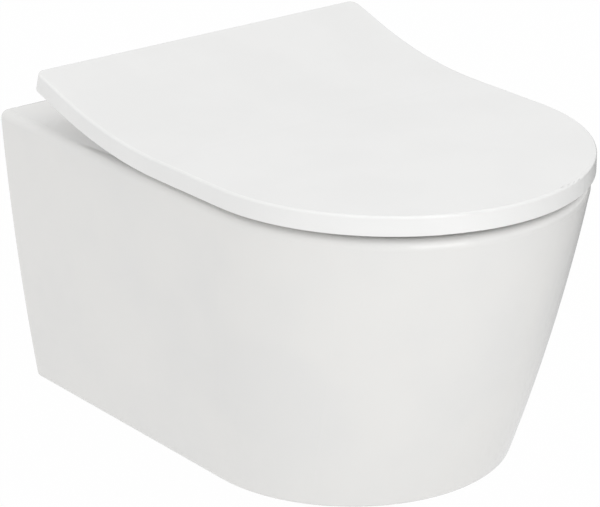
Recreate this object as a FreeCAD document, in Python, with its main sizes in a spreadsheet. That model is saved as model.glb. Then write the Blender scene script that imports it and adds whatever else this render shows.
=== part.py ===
import FreeCAD, Part
import math
import os
import Sketcher

# Wall hung toilet: a vitreous china pan hung on two studs of the wall, with a slim seat and a
# wrap-over cover on soft-close hinges that lift off for cleaning.
# Frame: millimetres, +X to the right, +Y into the wall, +Z up. The origin lies on the wall face,
# halfway between the two wall fixing holes.

V = FreeCAD.Vector
doc = FreeCAD.newDocument("WallHungToilet")
sheet = doc.addObject("Spreadsheet::Sheet", "Sizes")

SIZES = [
    # the pan's outside: straight flanks, a rounded nose, drawn in towards the foot
    ("rim_height", 80, "rim plane above the fixing holes"),
    ("foot_depth", 200, "underside below the fixing holes"),
    ("rim_half_width", 180, "half width at the rim"),
    ("rim_reach", 540, "projection from the wall at the rim"),
    ("rim_nose_depth", 1.08333, "share: length of the rim's nose over its half width"),
    ("rim_nose_round", 0.96111, "share: nose arc of the rim over its half width"),
    ("waist_drop", 140, "waist section below the rim"),
    ("waist_draw", 12, "how far each flank is drawn in at the waist"),
    ("waist_setback", 38, "how far the front is set back at the waist"),
    ("waist_nose_depth", 1.03571, "share: length of the waist's nose over its half width"),
    ("waist_nose_round", 0.98214, "share: nose arc of the waist over its half width"),
    ("foot_draw", 31, "how far each flank is drawn in at the foot"),
    ("foot_setback", 87, "how far the front is set back at the foot"),
    ("foot_nose_depth", 1.00671, "share: length of the foot's nose over its half width"),
    ("foot_nose_round", 0.99664, "share: nose arc of the foot over its half width"),
    ("back_corner_radius", 6, "upright corners at the wall"),
    ("rim_edge_radius", 8, "rounding of the rim's outer edge"),
    ("foot_edge_radius", 5, "rounding of the foot's edge"),
    ("china_wall", 12, "thickness of the china skin"),
    ("deck_thickness", 26, "thickness of the deck and rim"),
    # the bowl: five level sections, each an ellipse
    ("bowl_top_back", 178, "rim section, rear end, distance from the wall"),
    ("bowl_top_front_land", 40, "rim section, from its front end to the rim's"),
    ("bowl_top_slimness", 0.85714, "share: rim section, width over length"),
    ("bowl_upper_drop", 55, "second section below the rim"),
    ("bowl_upper_back", 199, "second section, rear end, distance from the wall"),
    ("bowl_upper_front_land", 53, "second section, from its front end to the rim's"),
    ("bowl_upper_slimness", 0.86806, "share: second section, width over length"),
    ("bowl_middle_drop", 120, "third section below the rim"),
    ("bowl_middle_back", 241, "third section, rear end, distance from the wall"),
    ("bowl_middle_front_land", 93, "third section, from its front end to the rim's"),
    ("bowl_middle_slimness", 0.8835, "share: third section, width over length"),
    ("bowl_lower_drop", 172, "fourth section below the rim"),
    ("bowl_lower_back", 275, "fourth section, rear end, distance from the wall"),
    ("bowl_lower_front_land", 155, "fourth section, from its front end to the rim's"),
    ("bowl_lower_slimness", 0.90909, "share: fourth section, width over length"),
    ("sump_centre", 320, "sump, distance from the wall"),
    # the trap: an S of round bore from the sump over the weir to the spigot
    ("trap_radius", 28, "bore radius of the trap"),
    ("trap_wall", 10, "china around the trap"),
    ("dip_depth", 158, "centre of the dip below the fixing holes"),
    ("dip_back", 262, "rear bend of the dip, distance from the wall"),
    ("crest_depth", 47, "centre of the crest below the fixing holes"),
    ("crest_front", 200, "front bend of the crest, distance from the wall"),
    ("crest_back", 142, "rear bend of the crest, distance from the wall"),
    ("fall_back", 92, "lower bend behind the crest, distance from the wall"),
    ("trap_bend_radius", 42, "bend radius of the trap"),
    ("outlet_depth", 100, "outlet centre below the fixing holes"),
    ("spigot_radius", 51, "outside of the outlet spigot"),
    ("spigot_wall", 9, "wall of the outlet spigot"),
    ("spigot_length", 58, "straight length of the spigot"),
    ("spigot_taper", 42, "length of the taper into the trap"),
    ("spigot_recess", 3, "spigot mouth behind the wall face"),
    # the flush way
    ("bowl_overlap", 20, "how far the feed chamber's block runs past its slot"),
    ("inlet_height", 35, "flush inlet centre above the fixing holes"),
    ("inlet_radius", 27.5, "bore of the flush inlet"),
    ("inlet_wall", 11, "china around the inlet"),
    ("inlet_length", 62, "length of the inlet bore"),
    ("throat_radius", 19, "bore of the throat behind the inlet"),
    ("slot_half_width", 48, "half width of the slot that feeds the bowl"),
    ("slot_height", 22, "height of the slot that feeds the bowl"),
    ("slot_back", 158, "rear wall of the slot, distance from the wall"),
    ("slot_front", 212, "front end of the slot, distance from the wall"),
    # fixing to the wall
    ("stud_spacing", 180, "between the wall fixing holes"),
    ("stud_hole_radius", 6.5, "hole for a 12 mm stud"),
    ("bracket_plate", 6, "bracket plate against the wall"),
    ("bracket_arm", 12, "bracket arm below the shelf"),
    ("bracket_rib_depth", 22, "depth of the bracket below the shelf"),
    ("bracket_top", 24, "top of the bracket plate above the stud"),
    ("bracket_half_width", 15, "half width of the bracket arm"),
    ("bracket_reach", 118, "front of the bracket arm, distance from the wall"),
    ("shelf_top_depth", 22, "top of the china shelf below the fixing holes"),
    ("shelf_thickness", 12, "thickness of the china shelf"),
    ("shelf_back", 30, "rear edge of the shelf, distance from the wall"),
    ("shelf_front", 125, "front edge of the shelf, distance from the wall"),
    ("web_half_width", 10, "half width of the middle web"),
    ("clamp_radius", 4, "shank of the clamp screw"),
    ("clamp_head_radius", 7, "head of the clamp screw"),
    ("clamp_head_height", 8, "height of the clamp screw head"),
    ("clamp_floor", 1.5, "steel below the clamp screw's blind hole"),
    ("bush_wall", 2, "wall of the shelf bush"),
    ("nut_width", 19, "across the flats of the stud nut"),
    ("nut_height", 10, "height of the stud nut"),
    ("washer_radius", 12, "outside of the stud washer"),
    ("washer_thickness", 2.5, "thickness of the stud washer"),
    # seat hinges
    ("hinge_spacing", 155, "between the seat fixing holes"),
    ("hinge_back", 88, "hinge axis, distance from the wall"),
    ("hinge_rise", 22, "hinge axis above the deck"),
    ("deck_hole_radius", 7.5, "seat fixing hole in the deck"),
    ("gasket_thickness", 1, "rubber gasket under the hinge foot"),
    ("flange_radius", 17, "round foot of the hinge post"),
    ("flange_thickness", 2, "thickness of the hinge foot"),
    ("post_radius", 5, "pillar of the hinge post"),
    ("post_rise", 9.5, "pillar above its foot"),
    ("post_neck_radius", 4.2, "groove of the pillar"),
    ("bolt_radius", 3, "bolt below the hinge post"),
    ("bolt_length", 62, "bolt length below the foot"),
    ("sleeve_length", 30, "rubber expansion sleeve"),
    ("cone_height", 12, "cone nut below the sleeve"),
    ("block_width", 26, "hinge block along the axis"),
    ("block_radius", 13.5, "round top of the hinge block"),
    ("damper_radius", 7.5, "bore for the damper cartridge"),
    ("damper_length", 17, "length of the damper cartridge"),
    ("pin_radius", 4, "hinge pins and damper shafts"),
    ("pin_length", 18, "length of the hinge pins"),
    ("pin_grip", 11, "length of a pin inside its lug"),
    ("lug_radius", 11, "round end of the hinge lugs"),
    ("lug_width", 12, "width of the hinge lugs"),
    ("lug_gap", 0.6, "gap between a lug and its hinge block"),
    # release buttons
    ("button_half_width", 9.8, "half width of the release button's plate"),
    ("button_height", 3.9, "height of the release button's plate"),
    ("button_rise", 3.6, "underside of the plate above the hinge foot"),
    ("button_travel", 2.5, "travel of the release button"),
    ("button_head", 3, "depth of the button's head"),
    ("button_back", 7.2, "rear end of the plate behind the hinge axis"),
    ("spring_length", 4.6, "button spring at rest"),
    ("spring_radius", 1.6, "middle of the button spring's coil"),
    ("spring_wire", 0.25, "wire radius of the button spring"),
    ("spring_turns", 3, "turns of the button spring"),
    # seat ring
    ("seat_lift", 5.5, "underside of the seat above the rim"),
    ("seat_thickness", 11, "thickness of the seat"),
    ("seat_back", 128, "rear edge of the seat, distance from the wall"),
    ("seat_hole_side_land", 72, "from the side of the seat's opening to the rim's edge"),
    ("seat_hole_front_land", 62, "from the front of the seat's opening to the rim's edge"),
    ("seat_hole_back", 196, "rear of the seat's opening, distance from the wall"),
    ("seat_edge_radius", 4, "rounding of the seat's upper edges"),
    ("seat_low_radius", 1.5, "rounding of the seat's lower edges"),
    # cover
    ("cover_side_overhang", 4.5, "cover beyond the rim at the side"),
    ("cover_front_overhang", 1, "cover beyond the rim at the front"),
    ("cover_flare", 3, "how much further each side line stands out at the wall"),
    ("cover_nose_depth", 1.01355, "share: length of the cover's nose over its half width"),
    ("cover_nose_round", 0.96477, "share: nose arc of the cover over its half width"),
    ("cover_lift", 5, "lower edge of the cover above the rim"),
    ("cover_inner_gap", 1.9, "between the seat and the cover's plate"),
    ("cover_plate", 4.6, "thickness of the cover's plate"),
    ("cover_skirt", 5, "thickness of the cover's edge wall"),
    ("sweep_start", 264, "where the cover begins to rise, distance from the wall"),
    ("sweep_radius", 500, "radius of the rising underside"),
    ("tail_angle", 17.5, "slope of the tail, degrees"),
    ("tail_back", 72, "lower rear edge of the cover, distance from the wall"),
    ("cover_edge_radius", 2.4, "rounding of the cover's upper edge"),
    ("cover_low_radius", 0.8, "rounding of the cover's lower edge"),
    ("cover_corner_radius", 9, "rear corners of the cover in plan"),
    ("seat_side_gap", 2.5, "gap between the seat and the cover's edge wall"),
    # small parts
    ("buffer_length", 30, "length of a buffer"),
    ("buffer_width", 12, "width of a buffer"),
    ("buffer_peg_radius", 3, "peg that holds a buffer"),
    ("buffer_peg_length", 3, "length of the buffer's peg"),
    ("rest_gap", 0.2, "gap below a buffer at rest"),
    ("seat_buffer_front_land", 125, "front seat buffers to the rim's front"),
    ("seat_buffer_back", 290, "rear seat buffers, distance from the wall"),
    ("seat_buffer_side_land", 36, "seat buffers to the rim's side"),
    ("cover_buffer_front_land", 115, "front cover buffers to the rim's front"),
    ("cover_buffer_back", 300, "rear cover buffers, distance from the wall"),
    ("cover_buffer_side_land", 40, "cover buffers to the rim's side"),
    # clearances
    ("running_gap", 0.06, "radial clearance of what turns or slides"),
    ("hole_gap", 0.2, "radial clearance of what is pushed in"),
    ("cut_margin", 5, "how far a cutting solid runs past what it cuts"),
    ("trim_margin", 15, "how far the outer trimming frame runs past the slab"),
]

# sizes that follow from the ones above
FOLLOWING = [
    ("rim_straight", "rim_reach - rim_nose_depth * rim_half_width", "straight flank at the rim"),
    ("rim_nose_radius", "rim_nose_round * rim_half_width", "nose arc at the rim"),
    ("cover_half_width", "rim_half_width + cover_side_overhang", "half width at the nose"),
    ("cover_back_half_width", "cover_half_width + cover_flare", "half width at the wall"),
    ("cover_thickness", "seat_lift - cover_lift + seat_thickness + cover_inner_gap + cover_plate",
     "thickness of the cover, edge included"),
    ("cover_reach", "rim_reach + cover_front_overhang", "front of the cover"),
    ("cover_straight", "cover_reach - cover_nose_depth * cover_half_width", "straight side"),
    ("cover_nose_radius", "cover_nose_round * cover_half_width", "nose arc of the cover"),
    ("seat_hole_half_width", "rim_half_width - seat_hole_side_land", "half the opening's width"),
    ("seat_hole_front", "rim_reach - seat_hole_front_land", "front of the seat's opening"),
    ("seat_buffer_side", "rim_half_width - seat_buffer_side_land", "from the middle"),
    ("seat_buffer_front", "rim_reach - seat_buffer_front_land", "from the wall"),
    ("cover_buffer_side", "rim_half_width - cover_buffer_side_land", "from the middle"),
    ("cover_buffer_front", "rim_reach - cover_buffer_front_land", "from the wall"),
]
for part in ("waist", "foot"):
    FOLLOWING += [
        (part + "_half_width", "rim_half_width - %s_draw" % part, "half width"),
        (part + "_reach", "rim_reach - %s_setback" % part, "projection"),
        (part + "_straight", "{0}_reach - {0}_nose_depth * {0}_half_width".format(part), "flank"),
        (part + "_nose_radius", "{0}_nose_round * {0}_half_width".format(part), "nose arc"),
    ]
for part in ("top", "upper", "middle", "lower"):
    front = "rim_reach - bowl_%s_front_land" % part
    FOLLOWING += [
        ("bowl_%s_centre" % part, "(%s + bowl_%s_back) / 2" % (front, part), "from the wall"),
        ("bowl_%s_length" % part, "%s - bowl_%s_back" % (front, part), "front to back"),
        ("bowl_%s_width" % part, "bowl_{0}_length * bowl_{0}_slimness".format(part), "across"),
    ]

cells = SIZES + [(name, "=" + formula, note) for name, formula, note in FOLLOWING]
for row, (name, content, note) in enumerate(cells, start=1):
    sheet.set("A%d" % row, name)
    sheet.set("B%d" % row, str(content))
    sheet.set("C%d" % row, note)
    sheet.setAlias("B%d" % row, name)
doc.recompute()


# ------------------------------------------------------------------ drawing aids

FUNCTIONS = ("sin", "cos", "tan", "sqrt")
NEAR = 0.01  # how closely an edge must lie to where it is looked for, in millimetres
EXACT = 0.001  # how closely two ends must meet to be the same point


def s(text):
    """Turns plain size names into the expression that reads them from the sheet."""
    words = text.replace("(", " ( ").replace(")", " ) ").split()
    result = " ".join("Sizes." + w if w[0].isalpha() and w not in FUNCTIONS else w for w in words)
    for word in FUNCTIONS:
        result = result.replace(word + " (", word + "(")
    return result


def value(text):
    """The number that an expression in size names gives now."""
    result = sheet.evalExpression(s(text))
    return float(getattr(result, "Value", result))


def bind(item, **expressions):
    """Binds properties of an object to expressions in size names."""
    for prop, text in expressions.items():
        item.setExpression(prop.replace("__", "."), s(text))


def place(item, x="0", y="0", z="0"):
    """Binds where an object stands."""
    bind(item, Placement__Base__x=x, Placement__Base__y=y, Placement__Base__z=z)
    return item


def new_body(name):
    return doc.addObject("PartDesign::Body", name)


def new_sketch(body, name, role, offset="0"):
    """A sketch on one of the body's origin planes, moved along that plane's normal."""
    sketch = body.newObject("Sketcher::SketchObject", name)
    plane = next(f for f in body.Origin.OriginFeatures if f.Role == role)
    sketch.AttachmentSupport = (plane, "")
    sketch.MapMode = "FlatFace"
    sketch.setExpression("AttachmentOffset.Base.z", s(offset))
    return sketch


def fix_point(sketch, geo, pos, x, y):
    """Ties a point of a sketch to size expressions, or to an axis where it lies on one."""
    if x == "0":
        sketch.addConstraint(Sketcher.Constraint("PointOnObject", geo, pos, -2))
    else:
        at = sketch.addConstraint(Sketcher.Constraint("DistanceX", -1, 1, geo, pos, value(x)))
        sketch.setExpression("Constraints[%d]" % at, s(x))
    if y == "0":
        sketch.addConstraint(Sketcher.Constraint("PointOnObject", geo, pos, -1))
    else:
        at = sketch.addConstraint(Sketcher.Constraint("DistanceY", -1, 1, geo, pos, value(y)))
        sketch.setExpression("Constraints[%d]" % at, s(y))


def polygon(sketch, points):
    """A closed polygon whose corners are size expressions."""
    spots = [V(value(x), value(y), 0) for x, y in points]
    first = sketch.GeometryCount
    for i, spot in enumerate(spots):
        sketch.addGeometry(Part.LineSegment(spot, spots[(i + 1) % len(spots)]), False)
    for i, (x, y) in enumerate(points):
        before = first + (i - 1) % len(points)
        sketch.addConstraint(Sketcher.Constraint("Coincident", before, 2, first + i, 1))
        fix_point(sketch, first + i, 1, x, y)


def circle(sketch, x, y, radius):
    """A circle whose centre and radius are size expressions."""
    geo = sketch.addGeometry(Part.Circle(V(value(x), value(y), 0), V(0, 0, 1), value(radius)), False)
    fix_point(sketch, geo, 3, x, y)
    at = sketch.addConstraint(Sketcher.Constraint("Radius", geo, value(radius)))
    sketch.setExpression("Constraints[%d]" % at, s(radius))


def bent_path(sketch, corners, radius):
    """An open path of straight runs through the corners, joined by tangent arcs of one radius."""
    spots = [V(value(x), value(y), 0) for x, y in corners]
    bend = value(radius)
    ends = [spots[0]]
    arcs = []
    for a, b, c in zip(spots, spots[1:], spots[2:]):
        u = (a - b).normalize()
        w = (c - b).normalize()
        half = u.getAngle(w) / 2
        ends += [b + u * (bend / math.tan(half)), b + w * (bend / math.tan(half))]
        centre = b + (u + w).normalize() * (bend / math.sin(half))
        middle = centre + (b - centre).normalize() * bend
        arcs.append((ends[-2], middle, ends[-1]))
    ends.append(spots[-1])
    lines = []
    for start, end in zip(ends[::2], ends[1::2]):
        lines.append(sketch.addGeometry(Part.LineSegment(start, end), False))
    fix_point(sketch, lines[0], 1, *corners[0])
    fix_point(sketch, lines[-1], 2, *corners[-1])
    for i, (x, y) in enumerate(corners[1:-1]):
        mark = sketch.addGeometry(Part.Point(spots[i + 1]), True)
        fix_point(sketch, mark, 1, x, y)
        for line in lines[i:i + 2]:
            sketch.addConstraint(Sketcher.Constraint("PointOnObject", mark, 1, line))
        arc = sketch.addGeometry(Part.Arc(*arcs[i]), False)
        first = 1 if sketch.getPoint(arc, 1).distanceToPoint(arcs[i][0]) < EXACT else 2
        sketch.addConstraint(Sketcher.Constraint("Tangent", lines[i], 2, arc, first))
        sketch.addConstraint(Sketcher.Constraint("Tangent", arc, 3 - first, lines[i + 1], 1))
        at = sketch.addConstraint(Sketcher.Constraint("Radius", arc, bend))
        sketch.setExpression("Constraints[%d]" % at, s(radius))


def nose_outline(sketch, back, back_half, half, straight, reach, nose):
    """The plan of the pan, seat and cover: a straight back, two straight flanks and a nose of
    three arcs. A side arc leads out of each flank into the nose arc, which stands on the axis."""
    x0, x1, y0, y1 = value(back_half), value(half), value(back), -value(straight)
    nose_radius = value(nose)
    nose_y = -(value(reach) - nose_radius)
    along = V(x1 - x0, y1 - y0, 0).normalize()
    inward = V(along.y, -along.x, 0)
    # the side arc's centre lies along the inward normal, where both tangencies hold
    gap = V(x1, y1 - nose_y, 0)
    side = (gap.dot(gap) - nose_radius ** 2) / (-2 * (gap.dot(inward) + nose_radius))
    centre = V(x1, y1, 0) + inward * side
    joint = V(0, nose_y, 0) + (V(0, nose_y, 0) - centre).normalize() * nose_radius
    if side < nose_radius:
        joint = V(0, nose_y, 0) + (centre - V(0, nose_y, 0)).normalize() * nose_radius
    mid_dir = ((V(x1, y1, 0) - centre).normalize() + (joint - centre).normalize()).normalize()
    mid = centre + mid_dir * side
    flip = lambda p: V(-p.x, p.y, 0)
    right, tip = V(x1, y1, 0), V(0, nose_y - nose_radius, 0)
    shapes = [
        Part.LineSegment(V(-x0, y0, 0), V(x0, y0, 0)),
        Part.LineSegment(V(x0, y0, 0), right),
        Part.Arc(right, mid, joint),
        Part.Arc(joint, tip, flip(joint)),
        Part.Arc(flip(joint), flip(mid), flip(right)),
        Part.LineSegment(flip(right), V(-x0, y0, 0)),
    ]
    for shape in shapes:
        sketch.addGeometry(shape, False)

    def end(geo, spot):
        return 1 if sketch.getPoint(geo, 1).distanceToPoint(spot) < EXACT else 2

    fix_point(sketch, 0, 1, "0 - (" + back_half + ")", back)
    fix_point(sketch, 0, 2, back_half, back)
    sketch.addConstraint(Sketcher.Constraint("Coincident", 0, 2, 1, 1))
    sketch.addConstraint(Sketcher.Constraint("Coincident", 0, 1, 5, 2))
    fix_point(sketch, 1, 2, half, "0 - (" + straight + ")")
    fix_point(sketch, 5, 1, "0 - (" + half + ")", "0 - (" + straight + ")")
    joints = [(1, 2, right), (2, 3, joint), (3, 4, flip(joint)), (4, 5, flip(right))]
    for one, other, spot in joints:
        ends = (one, end(one, spot), other, end(other, spot))
        sketch.addConstraint(Sketcher.Constraint("Tangent", *ends))
    at = sketch.addConstraint(Sketcher.Constraint("Radius", 3, nose_radius))
    sketch.setExpression("Constraints[%d]" % at, s(nose))
    fix_point(sketch, 3, 3, "0", "(" + nose + ") - (" + reach + ")")


def pad(body, name, sketch, length, both_ways=False, backwards=False):
    """Raises a sketch into a solid."""
    feature = body.newObject("PartDesign::Pad", name)
    feature.Profile = sketch
    feature.SideType = "Symmetric" if both_ways else "One side"
    feature.Reversed = backwards
    feature.setExpression("Length", s(length))
    return feature


def pocket(body, name, sketch, length=None, both_ways=False, backwards=False):
    """Cuts a sketch out of the body, right through where no length is given."""
    doc.recompute()
    before = body.Shape.Volume
    feature = body.newObject("PartDesign::Pocket", name)
    feature.Profile = sketch
    feature.SideType = "Symmetric" if both_ways else "One side"
    feature.Reversed = backwards
    if length is None:
        feature.Type = "ThroughAll"
    else:
        feature.setExpression("Length", s(length))
    doc.recompute()
    if not feature.Shape.Volume < before - NEAR:
        raise RuntimeError(name + " cuts nothing")
    return feature


def round_edges(body, name, base, radius, wanted):
    """Fillets the edges of a feature that the test picks by their centre and direction."""
    doc.recompute()
    picked = ["Edge%d" % i for i, e in enumerate(base.Shape.Edges, start=1) if wanted(e)]
    if not picked:
        raise RuntimeError(name + " finds no edge")
    feature = body.newObject("PartDesign::Fillet", name)
    feature.Base = (base, picked)
    feature.setExpression("Radius", s(radius))
    return feature


def cylinder(name, radius, height, axis=V(0, 0, 1), x="0", y="0", z="0"):
    """A round bar along an axis, from its start point."""
    item = doc.addObject("Part::Cylinder", name)
    bind(item, Radius=radius, Height=height)
    item.Placement = FreeCAD.Placement(V(), FreeCAD.Rotation(V(0, 0, 1), axis))
    return place(item, x, y, z)


def cone(name, radius_1, radius_2, height, axis=V(0, 0, 1), x="0", y="0", z="0"):
    """A tapered bar along an axis, from its start point."""
    item = doc.addObject("Part::Cone", name)
    bind(item, Radius1=radius_1, Radius2=radius_2, Height=height)
    item.Placement = FreeCAD.Placement(V(), FreeCAD.Rotation(V(0, 0, 1), axis))
    return place(item, x, y, z)


def block(name, length, width, height, x="0", y="0", z="0"):
    """A rectangular block from its low corner."""
    item = doc.addObject("Part::Box", name)
    bind(item, Length=length, Width=width, Height=height)
    return place(item, x, y, z)


def fuse(name, items):
    item = doc.addObject("Part::MultiFuse", name)
    item.Shapes = items
    return item


def cut(name, base, tool):
    item = doc.addObject("Part::Cut", name)
    item.Base = base
    item.Tool = tool
    return item


PIECES = []


def piece(item, label=None):
    """Marks an object as one of the toilet's pieces, under the name that its file gets."""
    item.Label = label or item.Name
    PIECES.append(item)
    return item


SIDES = (("left", "0 - "), ("right", "0 + "))
BACK = V(0, 1, 0)
FRONT = V(0, -1, 0)
HINGE_X = "hinge_spacing / 2"
HINGE_Y = "0 - hinge_back"
HINGE_Z = "rim_height + hinge_rise"
FOOT_TOP = "rim_height + gasket_thickness + flange_thickness"


# ------------------------------------------------------------------ the china pan

def pan_loft(name, inset, back):
    """The pan's outside, or that outside drawn in by an inset, lofted over three plan sections."""
    body = new_body(name)
    levels = (("rim", "rim_height"), ("waist", "rim_height - waist_drop"), ("foot", "0 - foot_depth"))
    sections = []
    for part, level in levels:
        sketch = new_sketch(body, name + "_" + part, "XY_Plane", level)
        half = part + "_half_width - " + inset
        nose_outline(sketch, back, half, half, part + "_straight",
                     part + "_reach - " + inset, part + "_nose_radius - " + inset)
        sections.append(sketch)
    loft = body.newObject("PartDesign::AdditiveLoft", name + "_loft")
    loft.Profile = sections[0]
    loft.Sections = sections[1:]
    return body, loft


def middle_of(edge):
    return edge.valueAt((edge.FirstParameter + edge.LastParameter) / 2)


def rise_of(edge):
    """How much higher an edge's last end lies than its first."""
    return edge.Vertexes[-1].Z - edge.Vertexes[0].Z


def at_wall(edge):
    """Tells whether an edge lies in the wall's face."""
    return all(abs(v.Y) < NEAR for v in edge.Vertexes) and abs(middle_of(edge).y) < NEAR


def pan_outside():
    body, loft = pan_loft("pan_outside", "0", "0")
    top, low = value("rim_height"), -value("foot_depth")
    rim = round_edges(body, "rim_edge", loft, "rim_edge_radius",
                      lambda e: middle_of(e).z > top - NEAR and not at_wall(e))
    corners = round_edges(body, "back_corners", rim, "back_corner_radius",
                          lambda e: at_wall(e) and abs(rise_of(e)) > value("foot_depth") / 2)
    round_edges(body, "foot_edge", corners, "foot_edge_radius",
                lambda e: middle_of(e).z < low + NEAR and abs(rise_of(e)) < NEAR and not at_wall(e))
    return body


BOWL = ("top", "upper", "middle", "lower")


def bowl_loft(name, wall):
    """The bowl, or the bowl with a wall around it, lofted over level ellipses down to the sump."""
    levels = [("0 - bowl_%s_centre" % b, "bowl_%s_length / 2 + %s" % (b, wall),
               "bowl_%s_width / 2 + %s" % (b, wall),
               "rim_height - bowl_%s_drop" % b if b != "top" else "rim_height") for b in BOWL]
    levels.append(("0 - sump_centre", "trap_radius + " + wall, "trap_radius + " + wall,
                   "0 - dip_depth"))
    ellipses = []
    for i, (y, half_length, half_width, z) in enumerate(levels):
        ellipse = doc.addObject("Part::Ellipse", "%s_level_%d" % (name, i))
        bind(ellipse, MajorRadius=half_length, MinorRadius=half_width)
        ellipse.Placement = FreeCAD.Placement(V(), FreeCAD.Rotation(V(0, 0, 1), 90))
        ellipses.append(place(ellipse, y=y, z=z))
    loft = doc.addObject("Part::Loft", name)
    loft.Sections = ellipses
    loft.Solid = True
    return loft


def trap_pipe(name, wall):
    """The trap's bore, or the bore with its wall: over the weir and down into the sump."""
    body = new_body(name)
    radius = "trap_radius + " + wall
    route = new_sketch(body, name + "_route", "YZ_Plane")
    bent_path(route, [
        ("0 - spigot_recess", "0 - outlet_depth"),
        ("0 - fall_back", "0 - outlet_depth"),
        ("0 - crest_back", "0 - crest_depth"),
        ("0 - crest_front", "0 - crest_depth"),
        ("0 - dip_back", "0 - dip_depth"),
        ("0 - sump_centre", "0 - dip_depth"),
    ], "trap_bend_radius")
    ring = new_sketch(body, name + "_ring", "XZ_Plane", "spigot_recess")
    circle(ring, "0", "0 - outlet_depth", radius)
    pipe = body.newObject("PartDesign::AdditivePipe", name + "_pipe")
    pipe.Profile = ring
    pipe.Spine = (route, [])
    end = doc.addObject("Part::Sphere", name + "_end")
    bind(end, Radius=radius)
    place(end, y="0 - sump_centre", z="0 - dip_depth")
    return [body, end]


def spigot(name, inset, start):
    """The outlet spigot's outside or bore, with its taper into the trap."""
    mouth = cylinder(name + "_mouth", "spigot_radius - " + inset, "spigot_length - " + start, FRONT,
                     y="0 - " + start, z="0 - outlet_depth")
    trap = "trap_radius + trap_wall" if inset == "0" else "trap_radius"
    taper = cone(name + "_taper", "spigot_radius - " + inset, trap, "spigot_taper", FRONT,
                 y="0 - spigot_length", z="0 - outlet_depth")
    return [mouth, taper]


def china_pan():
    outside = pan_outside()
    inside, _ = pan_loft("pan_inside", "china_wall", "cut_margin")
    reach = "rim_reach + cut_margin"
    width = "2 * rim_half_width"
    solids = [
        block("deck_slab", width, reach, "deck_thickness", "0 - rim_half_width", "0 - rim_reach",
              "rim_height - deck_thickness"),
        block("foot_slab", width, reach, "china_wall", "0 - rim_half_width", "0 - rim_reach",
              "0 - foot_depth"),
        bowl_loft("bowl_outside", "china_wall"),
        cylinder("inlet_outside", "inlet_radius + inlet_wall", "slot_back", FRONT, z="inlet_height",
                 y="0 - spigot_recess"),
        block("slot_outside", "2 * slot_half_width + 2 * china_wall",
              "slot_front - slot_back + bowl_overlap",
              "rim_height - inlet_height + slot_height", "0 - slot_half_width - china_wall",
              "0 - slot_front", "inlet_height - slot_height"),
        block("shelf", width, "shelf_front - shelf_back", "shelf_thickness", "0 - rim_half_width",
              "0 - shelf_front", "0 - shelf_top_depth - shelf_thickness"),
        block("upper_web", "2 * web_half_width", "shelf_front - shelf_back",
              "shelf_top_depth + inlet_height", "0 - web_half_width", "0 - shelf_front",
              "0 - shelf_top_depth"),
        block("lower_web", "2 * web_half_width", "shelf_front - spigot_length",
              "outlet_depth - shelf_top_depth", "0 - web_half_width", "0 - shelf_front",
              "0 - outlet_depth"),
    ]
    solids += trap_pipe("trap_outside", "trap_wall")
    solids += spigot("spigot_outside", "0", "spigot_recess")
    hollow = cut("pan_hollow", inside, fuse("pan_insides", solids))
    ways = [
        hollow,
        bowl_loft("bowl_inside", "0"),
        cylinder("inlet_bore", "inlet_radius", "inlet_length + cut_margin", FRONT, y="cut_margin",
                 z="inlet_height"),
        cylinder("throat_bore", "throat_radius", "slot_back + bowl_overlap / 2", FRONT, z="inlet_height"),
        block("slot_bore", "2 * slot_half_width", "slot_front - slot_back", "slot_height",
              "0 - slot_half_width", "0 - slot_front", "inlet_height - slot_height / 2"),
    ]
    ways += trap_pipe("trap_inside", "0")
    ways += spigot("spigot_inside", "spigot_wall", "0")
    for side, sign in SIDES:
        hole = cylinder("deck_hole_" + side, "deck_hole_radius", "deck_thickness + 2 * cut_margin",
                        x=sign + HINGE_X, y=HINGE_Y, z="rim_height - deck_thickness - cut_margin")
        shelf_hole = cylinder("shelf_hole_" + side, "clamp_radius + bush_wall + 2 * hole_gap",
                              "shelf_thickness + 2 * cut_margin", x=sign + HINGE_X, y=HINGE_Y,
                              z="0 - shelf_top_depth - shelf_thickness - cut_margin")
        ways += [hole, shelf_hole]
    return piece(cut("ceramic_pan", outside, fuse("pan_ways", ways)))


# ------------------------------------------------------------------ fixing the pan to the wall

ARM_TOP = "0 - shelf_top_depth - shelf_thickness"
CLAMP_DEPTH = "(bracket_arm - clamp_floor)"
CLAMP_LENGTH = "(bush_wall + shelf_thickness + bracket_arm - clamp_floor - 5 * hole_gap)"


def ring(name, outer, inner, height, axis=V(0, 0, 1), x="0", y="0", z="0"):
    """A round bar with a bore right through."""
    bar = cylinder(name + "_bar", outer, height, axis, x, y, z)
    bore = cylinder(name + "_bore", inner, height, axis, x, y, z)
    return cut(name, bar, bore)


def group(name, items):
    """Like pieces that share one name."""
    item = doc.addObject("Part::Compound", name)
    item.Links = items
    return piece(item)


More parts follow.
